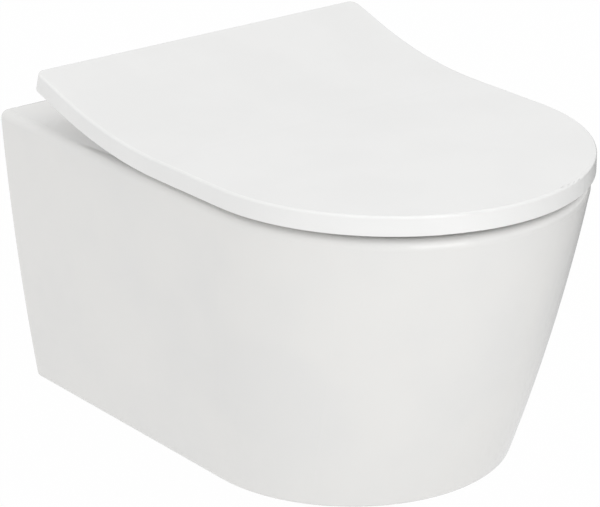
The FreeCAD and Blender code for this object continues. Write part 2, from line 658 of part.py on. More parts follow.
def wall_bracket(side, sign):
    """A steel angle on the wall stud, whose arm carries the china shelf from below and has a blind
    hole for the clamp screw."""
    body = new_body("wall_bracket_" + side)
    inner = sign + "(" + HINGE_X + " - bracket_half_width)"
    outer = sign + "(" + HINGE_X + " + bracket_half_width)"
    far = sign + "(stud_spacing / 2 + bracket_half_width)"
    plate = new_sketch(body, side + "_plate_outline", "XZ_Plane")
    low = ARM_TOP + " - bracket_rib_depth"
    polygon(plate, [(inner, low), (outer, low), (far, ARM_TOP), (far, "bracket_top"),
                    (inner, "bracket_top")])
    pad(body, side + "_plate", plate, "bracket_plate")
    arm = new_sketch(body, side + "_arm_outline", "XY_Plane", ARM_TOP)
    polygon(arm, [(inner, "0"), (outer, "0"), (outer, "0 - bracket_reach"),
                  (inner, "0 - bracket_reach")])
    pad(body, side + "_arm", arm, "bracket_arm", backwards=True)
    rib = new_sketch(body, side + "_rib_outline", "YZ_Plane", sign + HINGE_X)
    polygon(rib, [("0", ARM_TOP + " - bracket_arm"), ("0", low),
                  ("0 - bracket_plate", low),
                  ("0 - bracket_reach / 2", ARM_TOP + " - bracket_arm")])
    pad(body, side + "_rib", rib, "bracket_plate", both_ways=True)
    stud = new_sketch(body, side + "_stud_outline", "XZ_Plane")
    circle(stud, sign + "stud_spacing / 2", "0", "stud_hole_radius")
    pocket(body, side + "_stud_hole", stud, both_ways=True)
    clamp = new_sketch(body, side + "_clamp_outline", "XY_Plane", ARM_TOP)
    circle(clamp, sign + HINGE_X, HINGE_Y, "clamp_radius + hole_gap")
    pocket(body, side + "_clamp_hole", clamp, CLAMP_DEPTH)
    return piece(body)


def wall_fixings():
    washers, nuts, screws, bushes = [], [], [], []
    for side, sign in SIDES:
        wall_bracket(side, sign)
        stud_x = sign + "stud_spacing / 2"
        clamp_x = sign + HINGE_X
        washers.append(ring("washer_" + side, "washer_radius", "stud_hole_radius",
                            "washer_thickness", FRONT, stud_x, "0 - bracket_plate"))
        nut_y = "0 - bracket_plate - washer_thickness"
        hexagon = doc.addObject("Part::Prism", "nut_body_" + side)
        hexagon.Polygon = 6
        bind(hexagon, Circumradius="nut_width / 2 / cos(30)", Height="nut_height")
        hexagon.Placement = FreeCAD.Placement(V(), FreeCAD.Rotation(V(0, 0, 1), FRONT))
        place(hexagon, x=stud_x, y=nut_y)
        thread = cylinder("nut_thread_" + side, "stud_hole_radius - hole_gap", "nut_height", FRONT,
                          stud_x, nut_y)
        nuts.append(cut("nut_" + side, hexagon, thread))
        top = "0 - shelf_top_depth"
        collar = cylinder("bush_collar_" + side, "clamp_head_radius + bush_wall", "bush_wall",
                          x=clamp_x, y=HINGE_Y, z=top)
        sleeve = cylinder("bush_sleeve_" + side, "clamp_radius + bush_wall + hole_gap",
                          "shelf_thickness", x=clamp_x, y=HINGE_Y, z=ARM_TOP)
        way = cylinder("bush_way_" + side, "clamp_radius + hole_gap",
                       "shelf_thickness + bush_wall + cut_margin", x=clamp_x, y=HINGE_Y, z=ARM_TOP)
        bushes.append(cut("bush_" + side, fuse("bush_blank_" + side, [collar, sleeve]), way))
        head = cylinder("clamp_head_" + side, "clamp_head_radius", "clamp_head_height",
                        x=clamp_x, y=HINGE_Y, z=top + " + bush_wall")
        shank = cylinder("clamp_shank_" + side, "clamp_radius", CLAMP_LENGTH + " + cut_margin",
                         x=clamp_x, y=HINGE_Y, z=top + " + bush_wall - " + CLAMP_LENGTH)
        key = doc.addObject("Part::Prism", "clamp_key_" + side)
        key.Polygon = 6
        bind(key, Circumradius="clamp_radius", Height="clamp_head_height")
        place(key, x=clamp_x, y=HINGE_Y, z=top + " + bush_wall + clamp_head_height / 2")
        screws.append(cut("clamp_" + side, fuse("clamp_blank_" + side, [head, shank]), key))
    group("stud_washers", washers)
    group("stud_nuts", nuts)
    group("shelf_bushes", bushes)
    group("clamp_screws", screws)


# ------------------------------------------------------------------ hinge posts on the deck

def hinge_post(side, sign):
    """A turned steel post: a round foot, a grooved pillar that the hinge block drops onto, and a
    bolt that goes down through the deck."""
    body = new_body("hinge_post_" + side)
    foot = "rim_height + gasket_thickness"
    neck_low = FOOT_TOP + " + button_rise - hole_gap"
    neck_high = FOOT_TOP + " + button_rise + button_height + hole_gap"
    tip = FOOT_TOP + " + post_rise"
    outline = new_sketch(body, side + "_post_outline", "XZ_Plane")
    polygon(outline, [
        ("0", FOOT_TOP + " - bolt_length"),
        ("bolt_radius", FOOT_TOP + " - bolt_length"),
        ("bolt_radius", foot),
        ("flange_radius", foot),
        ("flange_radius", FOOT_TOP + " - flange_thickness / 3"),
        ("flange_radius - flange_thickness / 3", FOOT_TOP),
        ("post_radius", FOOT_TOP),
        ("post_radius", neck_low),
        ("post_neck_radius", neck_low),
        ("post_neck_radius", neck_high),
        ("post_radius", neck_high),
        ("post_radius", tip + " - post_radius / 5"),
        ("post_radius * 4 / 5", tip),
        ("0", tip),
    ])
    turned = body.newObject("PartDesign::Revolution", side + "_post_turned")
    turned.Profile = outline
    turned.ReferenceAxis = (outline, ["V_Axis"])
    turned.Angle = 360
    place(body, sign + HINGE_X, HINGE_Y)
    return piece(body)


def hinge_fixings():
    gaskets, sleeves, cones = [], [], []
    for side, sign in SIDES:
        hinge_post(side, sign)
        x = sign + HINGE_X
        gaskets.append(ring("gasket_" + side, "flange_radius", "deck_hole_radius",
                            "gasket_thickness", x=x, y=HINGE_Y, z="rim_height"))
        sleeves.append(ring("sleeve_" + side, "deck_hole_radius - hole_gap",
                            "bolt_radius + hole_gap", "sleeve_length",
                            x=x, y=HINGE_Y, z="rim_height - sleeve_length"))
        nut_z = "rim_height - sleeve_length - cone_height"
        taper = cone("cone_body_" + side, "deck_hole_radius - hole_gap",
                     "bolt_radius + cone_height / 6", "cone_height", x=x, y=HINGE_Y, z=nut_z)
        thread = cylinder("cone_thread_" + side, "bolt_radius + running_gap", "cone_height",
                          x=x, y=HINGE_Y, z=nut_z)
        cones.append(cut("cone_" + side, taper, thread))
    group("deck_gaskets", gaskets)
    group("expansion_sleeves", sleeves)
    group("cone_nuts", cones)


# ------------------------------------------------------------------ hinge blocks and their inside

BUTTON_FRONT = "0 - block_radius - button_travel - hole_gap - button_head"
BUTTON_LOW = FOOT_TOP + " + button_rise"


def hinge_block(side, sign):
    """A moulded block with a round top, bored along the axis for the cartridges, with a socket
    below for the post and a slot in front for the release button."""
    body = new_body("hinge_block_" + side)
    outline = new_sketch(body, side + "_block_outline", "YZ_Plane")
    radius, low, axis = value("block_radius"), value(FOOT_TOP), value(HINGE_Z)
    corners = [V(-radius, axis, 0), V(-radius, low, 0), V(radius, low, 0), V(radius, axis, 0)]
    names = [("0 - block_radius", HINGE_Z), ("0 - block_radius", FOOT_TOP),
             ("block_radius", FOOT_TOP), ("block_radius", HINGE_Z)]
    for start, end in zip(corners, corners[1:]):
        outline.addGeometry(Part.LineSegment(start, end), False)
    outline.addGeometry(Part.Arc(corners[3], V(0, axis + radius, 0), corners[0]), False)
    outline.addConstraint(Sketcher.Constraint("Coincident", 0, 2, 1, 1))
    outline.addConstraint(Sketcher.Constraint("Coincident", 1, 2, 2, 1))
    outline.addConstraint(Sketcher.Constraint("Coincident", 2, 2, 3, 1))
    outline.addConstraint(Sketcher.Constraint("Coincident", 3, 2, 0, 1))
    for geo, pos, name in ((0, 1, 0), (1, 1, 1), (2, 1, 2), (2, 2, 3)):
        fix_point(outline, geo, pos, *names[name])
    at = outline.addConstraint(Sketcher.Constraint("DistanceY", -1, 1, 3, 3, axis))
    outline.setExpression("Constraints[%d]" % at, s(HINGE_Z))
    blank = pad(body, side + "_block_blank", outline, "block_width", both_ways=True)
    end = value("block_width") / 2
    round_edges(body, side + "_block_edges", blank, "lug_gap",
                lambda e: e.BoundBox.XLength < NEAR and abs(e.BoundBox.XMin) > end - NEAR
                and e.BoundBox.ZMax > low + NEAR)
    bore = new_sketch(body, side + "_bore_outline", "YZ_Plane")
    circle(bore, "0", HINGE_Z, "damper_radius")
    pocket(body, side + "_damper_bore", bore, both_ways=True)
    socket = new_sketch(body, side + "_socket_outline", "XY_Plane", FOOT_TOP)
    circle(socket, "0", "0", "post_radius + running_gap")
    pocket(body, side + "_socket", socket, "post_rise + hole_gap", backwards=True)
    slot = new_sketch(body, side + "_slot_outline", "XZ_Plane", "0 - button_back - spring_length")
    half = "button_half_width + hole_gap"
    polygon(slot, [("0 - (" + half + ")", BUTTON_LOW + " - hole_gap"),
                   (half, BUTTON_LOW + " - hole_gap"),
                   (half, BUTTON_LOW + " + button_height + hole_gap"),
                   ("0 - (" + half + ")", BUTTON_LOW + " + button_height + hole_gap")])
    pocket(body, side + "_slot", slot, backwards=True)
    place(body, sign + HINGE_X, HINGE_Y)
    return piece(body)


def release_button(side, sign):
    """A push button with a plate that reaches around the post. Pressed towards the wall, it frees
    the hinge block, and a coil spring brings it back."""
    body = new_body("release_button_" + side)
    head = new_sketch(body, side + "_head_outline", "XZ_Plane",
                      "0 - (" + BUTTON_FRONT + ") - button_head")
    half = "button_half_width"
    lip = "button_height / 4"
    polygon(head, [("0 - " + half, BUTTON_LOW + " - " + lip), (half, BUTTON_LOW + " - " + lip),
                   (half, BUTTON_LOW + " + button_height + 2 * " + lip),
                   ("0 - " + half, BUTTON_LOW + " + button_height + 2 * " + lip)])
    face = pad(body, side + "_head", head, "button_head")
    front = value(BUTTON_FRONT)
    round_edges(body, side + "_head_edges", face, lip,
                lambda e: e.BoundBox.YMax < front + NEAR)
    plate = new_sketch(body, side + "_plate_shape", "XY_Plane", BUTTON_LOW)
    polygon(plate, [("0 - " + half, BUTTON_FRONT + " + button_head / 2"),
                    (half, BUTTON_FRONT + " + button_head / 2"),
                    (half, "button_back"), ("0 - " + half, "button_back")])
    pad(body, side + "_plate_pad", plate, "button_height")
    window = new_sketch(body, side + "_window_outline", "XY_Plane", BUTTON_LOW)
    gap = "post_radius + hole_gap"
    polygon(window, [("0 - (" + gap + ")", "0 - (" + gap + ") - button_travel"),
                     (gap, "0 - (" + gap + ") - button_travel"),
                     (gap, gap), ("0 - (" + gap + ")", gap)])
    pocket(body, side + "_window", window, both_ways=True)
    place(body, sign + HINGE_X, HINGE_Y)
    return piece(body)


def button_spring(side, sign):
    """A small coil spring behind the button's plate."""
    coil = doc.addObject("Part::Helix", "coil_" + side)
    bind(coil, Radius="spring_radius", Height="spring_length - 2 * spring_wire",
         Pitch="(spring_length - 2 * spring_wire) / spring_turns")
    wire = doc.addObject("Part::Circle", "wire_" + side)
    bind(wire, Radius="spring_wire")
    wire.Placement = FreeCAD.Placement(V(), FreeCAD.Rotation(V(0, 0, 1), V(0, 1, 0)))
    place(wire, x="spring_radius")
    spring = doc.addObject("Part::Sweep", "button_spring_" + side)
    spring.Sections = [wire]
    spring.Spine = coil
    spring.Solid = True
    spring.Frenet = True
    spring.Placement = FreeCAD.Placement(V(), FreeCAD.Rotation(V(0, 0, 1), BACK))
    place(spring, sign + HINGE_X, HINGE_Y + " + button_back + spring_wire",
          BUTTON_LOW + " + button_height / 2")
    return piece(spring)


ACROSS = V(1, 0, 0)
BLOCK_FACE = HINGE_X + " + block_width / 2"
BLOCK_BACK = HINGE_X + " - block_width / 2"


def cartridge(name, start, length):
    """A damper or bush in a hinge block's bore, with a round socket for its shaft or pin."""
    return piece(ring(name, "damper_radius - hole_gap", "pin_radius + running_gap", length, ACROSS,
                      start, HINGE_Y, HINGE_Z))


def axle(name, flat_start, round_start):
    """A shaft or pin: round where it turns, and flat on two sides where its lug holds it."""
    turning = cylinder(name + "_turning", "pin_radius", "pin_length - pin_grip", ACROSS,
                       round_start, HINGE_Y, HINGE_Z)
    held = flat_bar(name + "_held", flat_start, "pin_grip", "0")
    return piece(fuse(name, [turning, held]))


def flat_bar(name, start, length, gap):
    """A round bar along the hinge axis with two flats, or its hole with a gap."""
    bar = cylinder(name + "_bar", "pin_radius + " + gap, length, ACROSS, start, HINGE_Y, HINGE_Z)
    flats = block(name + "_flats", length, "2 * (pin_radius + " + gap + ")",
                  "pin_radius * 3 / 2 + 2 * " + gap, start, HINGE_Y + " - pin_radius - " + gap,
                  HINGE_Z + " - pin_radius * 3 / 4 - " + gap)
    item = doc.addObject("Part::Common", name)
    item.Base = bar
    item.Tool = flats
    return item


SINK = "pin_length - pin_grip - lug_gap"


def hinge_inside():
    """The left block damps the seat and the right one the cover. Each other end has a bush."""
    for side, sign in SIDES:
        hinge_block(side, sign)
        release_button(side, sign)
        button_spring(side, sign)
    rest = "block_width - damper_length - hole_gap"
    cartridge("seat_damper", "0 - (" + BLOCK_FACE + ")", "damper_length")
    cartridge("cover_bush", "0 - (" + BLOCK_BACK + ") - (" + rest + ")", rest)
    cartridge("cover_damper", BLOCK_BACK, "damper_length")
    cartridge("seat_bush", BLOCK_FACE + " - (" + rest + ")", rest)
    axle("seat_damper_shaft", "0 - (" + BLOCK_FACE + ") - lug_gap - pin_grip",
         "0 - (" + BLOCK_FACE + ") - lug_gap")
    axle("cover_pin", "0 - (" + BLOCK_BACK + ") + lug_gap",
         "0 - (" + BLOCK_BACK + ") - (" + SINK + ")")
    axle("cover_damper_shaft", BLOCK_BACK + " - lug_gap - pin_grip", BLOCK_BACK + " - lug_gap")
    axle("seat_pin", BLOCK_FACE + " + lug_gap", BLOCK_FACE + " - (" + SINK + ")")


# ------------------------------------------------------------------ the swept form of seat and cover

COVER_LOW = "rim_height + cover_lift"


def cover_height(y):
    """How high the cover's lower edge lies at a distance from the wall."""
    start, radius = -value("sweep_start"), value("sweep_radius")
    slope = math.radians(value("tail_angle"))
    end = start + radius * math.sin(slope)
    base = value(COVER_LOW)
    if y < start:
        return base
    if y < end:
        return base + radius - math.sqrt(radius ** 2 - (y - start) ** 2)
    return base + radius * (1 - math.cos(slope)) + (y - end) * math.tan(slope)


def swept_height(distance, offset):
    """The same height as an expression, on the rising arc, for a surface offset inwards."""
    return (COVER_LOW + " + sweep_radius - sqrt((sweep_radius - " + offset
            + ") ^ 2 - (sweep_start - " + distance + ") ^ 2)")


def lift_of(spot):
    """How high a point lies above the cover's lower edge."""
    return spot.z - cover_height(spot.y)


def above(edge):
    """How high the middle of an edge lies above the cover's lower edge."""
    return lift_of(middle_of(edge))


def upright(edge):
    """Tells whether an edge runs up through the thickness of the slab."""
    ends = [lift_of(v.Point) for v in edge.Vertexes]
    return len(ends) == 2 and abs(ends[0] - ends[1]) > value("seat_thickness") / 2


def joins_tops(edge):
    """Tells whether an edge only joins the flat, the rise and the tail of one surface."""
    box = edge.BoundBox
    wide = box.YLength < NEAR and box.XLength > value("cover_half_width")
    return wide and box.YMin < -value("tail_back") - 2 * value("cover_thickness")


def swept_slab(name, inset, low, high, back="cut_margin"):
    """A D-shaped slab that lies flat over the bowl and sweeps up towards the hinges."""
    body = new_body(name)
    side = new_sketch(body, name + "_side", "YZ_Plane")
    low_radius, high_radius = "(sweep_radius - (" + low + "))", "(sweep_radius - (" + high + "))"
    run = ("((sweep_start - tail_back - sweep_radius * sin(tail_angle)) / cos(tail_angle) - ("
           + inset + "))")
    front = "0 - cover_reach - cut_margin"

    def bend(radius):
        return ("0 - sweep_start + " + radius + " * sin(tail_angle)",
                COVER_LOW + " + sweep_radius - " + radius + " * cos(tail_angle)")

    def tail(radius):
        y, z = bend(radius)
        return y + " + " + run + " * cos(tail_angle)", z + " + " + run + " * sin(tail_angle)"

    corners = [(front, COVER_LOW + " + " + low), ("0 - sweep_start", COVER_LOW + " + " + low),
               bend(low_radius), tail(low_radius), tail(high_radius), bend(high_radius),
               ("0 - sweep_start", COVER_LOW + " + " + high), (front, COVER_LOW + " + " + high)]
    spots = [V(value(y), value(z), 0) for y, z in corners]
    centre = V(-value("sweep_start"), value(COVER_LOW) + value("sweep_radius"), 0)
    for i, spot in enumerate(spots):
        following = spots[(i + 1) % len(spots)]
        if i in (1, 5):
            half_way = (spot + following) * 0.5 - centre
            middle = centre + half_way.normalize() * (spot - centre).Length
            side.addGeometry(Part.Arc(spot, middle, following), False)
        else:
            side.addGeometry(Part.LineSegment(spot, following), False)

    def end(geo, spot):
        return 1 if side.getPoint(geo, 1).distanceToPoint(spot) < EXACT else 2

    for i, (y, z) in enumerate(corners):
        before = (i - 1) % len(corners)
        ends = (before, end(before, spots[i]), i, end(i, spots[i]))
        side.addConstraint(Sketcher.Constraint("Coincident", *ends))
        fix_point(side, i, end(i, spots[i]), y, z)
    for geo, radius in ((1, low_radius), (5, high_radius)):
        at = side.addConstraint(Sketcher.Constraint("Radius", geo, value(radius)))
        side.setExpression("Constraints[%d]" % at, s(radius))
    pad(body, name + "_slab", side, "2 * cover_back_half_width + 2 * cut_margin", both_ways=True)
    plan = new_sketch(body, name + "_plan", "XY_Plane")
    nose_outline(plan, back, "cover_back_half_width - " + inset,
                 "cover_half_width - " + inset, "cover_straight", "cover_reach - " + inset,
                 "cover_nose_radius - " + inset)
    beyond, front_end = "cover_back_half_width + trim_margin", "0 - cover_reach - trim_margin"
    polygon(plan, [("0 - (" + beyond + ")", "trim_margin"), (beyond, "trim_margin"),
                   (beyond, front_end), ("0 - (" + beyond + ")", front_end)])
    return body, pocket(body, name + "_trim", plan, both_ways=True)


# ------------------------------------------------------------------ the seat

SEAT_LOW = "rim_height + seat_lift"
SEAT_TOP = "rim_height + seat_lift + seat_thickness"
SEAT_INSET = "(cover_skirt + seat_side_gap)"
SEAT_RISE = "seat_lift - cover_lift"


def lugs(name, start, points):
    """Two lugs on the hinge axis, left and right: a round end and an arm of the given outline."""
    made = []
    for side, sign in SIDES:
        body = new_body(name + "_arm_" + side)
        middle = "(" + start + " + lug_width / 2)"
        outline = new_sketch(body, name + "_outline_" + side, "YZ_Plane", sign + middle)
        polygon(outline, points)
        pad(body, name + "_pad_" + side, outline, "lug_width", both_ways=True)
        near = start if side == "right" else "0 - (" + start + ") - lug_width"
        eye = cylinder(name + "_eye_" + side, "lug_radius", "lug_width", ACROSS, near, HINGE_Y,
                       HINGE_Z)
        made += [body, eye]
    return made


def pill(name, height, x, y, z):
    """A long pad with round ends."""
    run = "buffer_length - buffer_width"
    parts = [block(name + "_middle", "buffer_width", run, height, x + " - buffer_width / 2",
                   y + " - (" + run + ") / 2", z)]
    for end, sign in (("near", " - "), ("far", " + ")):
        parts.append(cylinder(name + "_" + end, "buffer_width / 2", height, x=x,
                              y=y + sign + "(" + run + ") / 2", z=z))
    return parts


def buffers(name, height, top, side_name, front_name, back_name):
    """Four buffers that hang by a peg below the seat or the cover, and the holes for the pegs."""
    made, holes = [], []
    for side, sign in SIDES:
        for row, distance in (("front", front_name), ("back", back_name)):
            tag = "%s_%s_%s" % (name, side, row)
            x, y = sign + side_name, "0 - " + distance
            parts = pill(tag + "_pad", height, x, y, top + " - (" + height + ")")
            parts.append(cylinder(tag + "_peg", "buffer_peg_radius", "buffer_peg_length",
                                  x=x, y=y, z=top))
            made.append(fuse(tag, parts))
            holes.append(cylinder(tag + "_hole", "buffer_peg_radius + running_gap",
                                  "buffer_peg_length + hole_gap + cut_margin", x=x, y=y,
                                  z=top + " - cut_margin"))
    group(name, made)
    return holes


def seat_ring():
    body, _ = swept_slab("seat_plate", SEAT_INSET, SEAT_RISE, SEAT_RISE + " + seat_thickness",
                         "0 - seat_back")
    hole = new_sketch(body, "seat_hole_outline", "XY_Plane")
    slot_outline(hole, "seat_hole_half_width", "seat_hole_back", "seat_hole_front")
    opened = pocket(body, "seat_hole", hole, both_ways=True)
    middle = value(SEAT_RISE + " + seat_thickness / 2")
    smooth = round_edges(body, "seat_top_edges", opened, "seat_edge_radius",
                         lambda e: above(e) > middle and not upright(e) and not joins_tops(e))
    round_edges(body, "seat_low_edges", smooth, "seat_low_radius",
                lambda e: above(e) < 1 and not upright(e) and not joins_tops(e))
    arm_front = "(seat_back + 2 * lug_width)"
    arms = lugs("seat_lug", BLOCK_FACE + " + lug_gap", [
        (HINGE_Y, HINGE_Z + " + lug_radius"), (HINGE_Y, HINGE_Z + " - lug_radius"),
        ("0 - " + arm_front, swept_height(arm_front, "(" + SEAT_RISE + " + seat_thickness / 3)")),
        ("0 - " + arm_front, swept_height(arm_front, "(" + SEAT_RISE + " + seat_thickness / 2)")),
    ])
    holes = buffers("seat_buffers", "seat_lift - rest_gap", SEAT_LOW, "seat_buffer_side",
                    "seat_buffer_front", "seat_buffer_back")
    holes.append(flat_bar("seat_hole_left", "0 - (" + BLOCK_FACE + ") - lug_gap - lug_width",
                          "lug_width", "running_gap"))
    holes.append(flat_bar("seat_hole_right", BLOCK_FACE + " + lug_gap", "lug_width", "running_gap"))
    return piece(cut("seat_ring", fuse("seat_blank", [body] + arms), fuse("seat_holes", holes)))


def slot_outline(sketch, half, back, front):
    """A long hole with a half circle at each end, lying along Y."""
    w, y1, y0 = value(half), -value(back) - value(half), -value(front) + value(half)
    sketch.addGeometry(Part.LineSegment(V(-w, y0, 0), V(-w, y1, 0)), False)
    sketch.addGeometry(Part.Arc(V(-w, y1, 0), V(0, y1 + w, 0), V(w, y1, 0)), False)
    sketch.addGeometry(Part.LineSegment(V(w, y1, 0), V(w, y0, 0)), False)
    sketch.addGeometry(Part.Arc(V(w, y0, 0), V(0, y0 - w, 0), V(-w, y0, 0)), False)
    for i in range(4):
        one, other = i, (i + 1) % 4
        spot = sketch.getPoint(one, 2) if one in (0, 2) else sketch.getPoint(other, 1)
        near = 1 if sketch.getPoint(one, 1).distanceToPoint(spot) < EXACT else 2
        far = 1 if sketch.getPoint(other, 1).distanceToPoint(spot) < EXACT else 2
        sketch.addConstraint(Sketcher.Constraint("Tangent", one, near, other, far))
    fix_point(sketch, 1, 3, "0", "0 - " + back + " - " + half)
    fix_point(sketch, 3, 3, "0", half + " - " + front)
    at = sketch.addConstraint(Sketcher.Constraint("Radius", 1, w))
    sketch.setExpression("Constraints[%d]" % at, s(half))


# ------------------------------------------------------------------ the cover

def cover_outside():
    body, blank = swept_slab("cover_outside", "0", "0", "cover_thickness")
    half = value("cover_thickness") / 2
    back = -value("tail_back") - value("cover_thickness")
    corners = round_edges(body, "cover_corners", blank, "cover_corner_radius",
                          lambda e: e.BoundBox.YMin > back and upright(e))
    upper = round_edges(body, "cover_top_edges", corners, "cover_edge_radius",
                        lambda e: above(e) > half and not upright(e) and not joins_tops(e))
    round_edges(body, "cover_low_edges", upper, "cover_low_radius",
                lambda e: above(e) < 0.3 and not upright(e) and not joins_tops(e))
    return body


def seat_cover():
    outside = cover_outside()
    inside, _ = swept_slab("cover_inside", "cover_skirt", "0 - cut_margin",
                            "cover_thickness - cover_plate")
    shell = cut("cover_shell", outside, inside)

    def plate_middle(y):
        return (COVER_LOW + " + sweep_radius * (1 - cos(tail_angle)) + (" + y
                + " + sweep_start - sweep_radius * sin(tail_angle)) * tan(tail_angle)"
                + " + (cover_thickness - cover_plate / 2) / cos(tail_angle)")

    front, back = HINGE_Y + " - lug_radius", HINGE_Y + " + lug_radius"
    arms = lugs("cover_lug", BLOCK_BACK + " - lug_gap - lug_width", [
        (front, HINGE_Z), (back, HINGE_Z), (back, plate_middle(back)), (front, plate_middle(front)),
    ])
    top = COVER_LOW + " + cover_thickness - cover_plate"
    height = top + " - (" + SEAT_TOP + ") - rest_gap"
    holes = buffers("cover_buffers", height, top, "cover_buffer_side", "cover_buffer_front",
                    "cover_buffer_back")
    holes.append(flat_bar("cover_hole_right", BLOCK_BACK + " - lug_gap - lug_width", "lug_width",
                          "running_gap"))
    holes.append(flat_bar("cover_hole_left", "0 - (" + BLOCK_BACK + ") + lug_gap", "lug_width",
                          "running_gap"))
    return piece(cut("seat_cover", fuse("cover_blank", [shell] + arms),
                     fuse("cover_holes", holes)))


# ------------------------------------------------------------------ putting it together

china_pan()
wall_fixings()
hinge_fixings()
hinge_inside()
seat_ring()
seat_cover()
doc.recompute()

for item in doc.Objects:
    if "Invalid" in item.State or "Error" in item.State:
        raise RuntimeError(item.Name + " failed: " + str(item.State))
os.makedirs("parts", exist_ok=True)
for item in PIECES:
    shape = item.Shape
    if shape.isNull() or not shape.isValid() or not shape.Solids:
        raise RuntimeError(item.Label + " is not a sound solid")
for item in PIECES:
    shape = item.Shape
    shape.exportStep("parts/" + item.Label + ".step")
    box = shape.BoundBox
    print("%-24s %2d solid(s) %10.1f mm3  x %7.1f..%7.1f  y %7.1f..%7.1f  z %7.1f..%7.1f" % (
        item.Label, len(shape.Solids), shape.Volume, box.XMin, box.XMax, box.YMin, box.YMax,
        box.ZMin, box.ZMax))
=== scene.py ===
import math

import bpy
from mathutils import Matrix, Vector


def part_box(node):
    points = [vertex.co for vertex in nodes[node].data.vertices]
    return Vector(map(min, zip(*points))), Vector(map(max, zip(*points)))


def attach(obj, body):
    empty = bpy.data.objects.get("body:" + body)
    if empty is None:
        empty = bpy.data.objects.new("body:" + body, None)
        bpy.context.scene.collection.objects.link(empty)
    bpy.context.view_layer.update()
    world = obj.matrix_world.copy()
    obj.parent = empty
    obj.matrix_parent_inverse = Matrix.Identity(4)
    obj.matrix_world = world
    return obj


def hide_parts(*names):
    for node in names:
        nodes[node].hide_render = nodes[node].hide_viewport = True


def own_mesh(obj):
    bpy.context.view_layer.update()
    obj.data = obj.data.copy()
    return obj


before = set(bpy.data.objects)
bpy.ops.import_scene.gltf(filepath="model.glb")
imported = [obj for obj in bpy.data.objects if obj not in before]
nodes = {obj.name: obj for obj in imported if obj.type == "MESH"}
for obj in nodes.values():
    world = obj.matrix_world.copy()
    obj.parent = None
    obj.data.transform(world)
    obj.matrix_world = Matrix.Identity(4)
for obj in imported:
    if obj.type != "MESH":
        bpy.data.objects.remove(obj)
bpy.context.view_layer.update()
bpy.ops.object.select_all(action="DESELECT")


# ---------------------------------------------------------------- china pan
# One casting of vitreous china: skin, deck, bowl, flush way, trap and spigot. It is dipped and
# fired in a glossy white glaze, which pools a little and shows a faint orange peel. Its rear
# edges stood on the kiln shelf and meet the wall, so they are ground flat and stay bare.

PAN_GLAZE = (0.838, 0.832, 0.815, 1)
PAN_GLAZE_POOLED = (0.815, 0.812, 0.800, 1)
BARE_CHINA = (0.72, 0.66, 0.55, 1)
BARE_CHINA_SPECK = (0.50, 0.44, 0.36, 1)
BARE_EDGE_START = -0.0036
BARE_EDGE_END = -0.0028
GLAZE_POOLS = 9  # patches, ripples or grains to a metre, here and in the other finishes
ORANGE_PEEL = 55
SLOW_WAVES = 7
CHINA_GRAIN = 900
GLAZE_ROUGHNESS = 0.07
GLAZE_COAT = 0.35


class Wire:
    """A socket of a finish, so that shader sums read as plain sums."""

    def __init__(self, tree, socket=None):
        self.tree = tree
        self.socket = socket

    def node(self, kind, settings=(), output=0, **inputs):
        """Adds a node with its settings first, then the values or links of its sockets.

        A socket is given by its name, or as i and its number where names repeat.
        """
        made = self.tree.nodes.new(kind)
        for name, choice in dict(settings).items():
            setattr(made, name, choice)
        for name, given in inputs.items():
            at = int(name[1:]) if name[1:].isdigit() else name.replace("_", " ")
            if isinstance(given, Wire):
                self.tree.links.new(given.socket, made.inputs[at])
            else:
                made.inputs[at].default_value = given
        return Wire(self.tree, made.outputs[output])

    def maths(self, operation, a, b):
        return self.node("ShaderNodeMath", {"operation": operation}, i0=a, i1=b)

    def __add__(self, other):
        return self.maths("ADD", self, other)

    def __sub__(self, other):
        return self.maths("SUBTRACT", self, other)

    def __rsub__(self, other):
        return self.maths("SUBTRACT", other, self)

    def __mul__(self, other):
        return self.maths("MULTIPLY", self, other)

    __radd__ = __add__
    __rmul__ = __mul__

    def step(self, low, high):
        """0 below low, 1 above high, and a smooth slope between them."""
        return self.node("ShaderNodeMapRange", {"interpolation_type": "SMOOTHSTEP"},
                         Value=self, From_Min=low, From_Max=high)

    def blend(self, mask, one, other):
        """A mix of two colours: the first where the mask is 0, the other where it is 1."""
        return self.node("ShaderNodeMix", {"data_type": "RGBA"}, output=2,
                         i0=mask, i6=one, i7=other)


def new_finish(name, roughness, **fixed):
    """A material with one Principled shader, and a wire to hang its nodes on."""
    material = bpy.data.materials.new(name)
    material.use_nodes = True
    shader = material.node_tree.nodes["Principled BSDF"]
    shader.inputs["Roughness"].default_value = roughness
    for socket, setting in fixed.items():
        shader.inputs[socket.replace("_", " ")].default_value = setting
    return material, shader, Wire(material.node_tree)


def noise(wire, scale, detail=3.0, roughness=0.5, stretch=(1, 1, 1)):
    """Cloudy noise from 0 to 1, so many swirls to a metre, longer where the stretch is small."""
    place = wire.node("ShaderNodeTexCoord", output="Object")
    place = wire.node("ShaderNodeMapping", Vector=place, Scale=stretch)
    return wire.node("ShaderNodeTexNoise", Vector=place, Scale=scale, Detail=detail,
                     Roughness=roughness)


def axes(wire, origin="Object"):
    """A place, or in the world a direction, as three wires along X, Y and Z."""
    place = wire.node("ShaderNodeTexCoord", output=origin)
    parts = wire.node("ShaderNodeSeparateXYZ", Vector=place).socket.node.outputs
    return [Wire(wire.tree, parts[axis]) for axis in range(3)]


def connect(wire, shader, bump, strength, depth, **links):
    """Links the fine relief of a finish, and its colour and roughness, to its shader."""
    for socket, link in links.items():
        wire.tree.links.new(link.socket, shader.inputs[socket.replace("_", " ")])
    relief = wire.node("ShaderNodeBump", Strength=strength, Distance=depth, Height=bump)
    wire.tree.links.new(relief.socket, shader.inputs["Normal"])


def paint(material, *names):
    """Gives every slot of the named CAD nodes this material."""
    for name in names:
        for slot in nodes[name].material_slots:
            slot.material = material


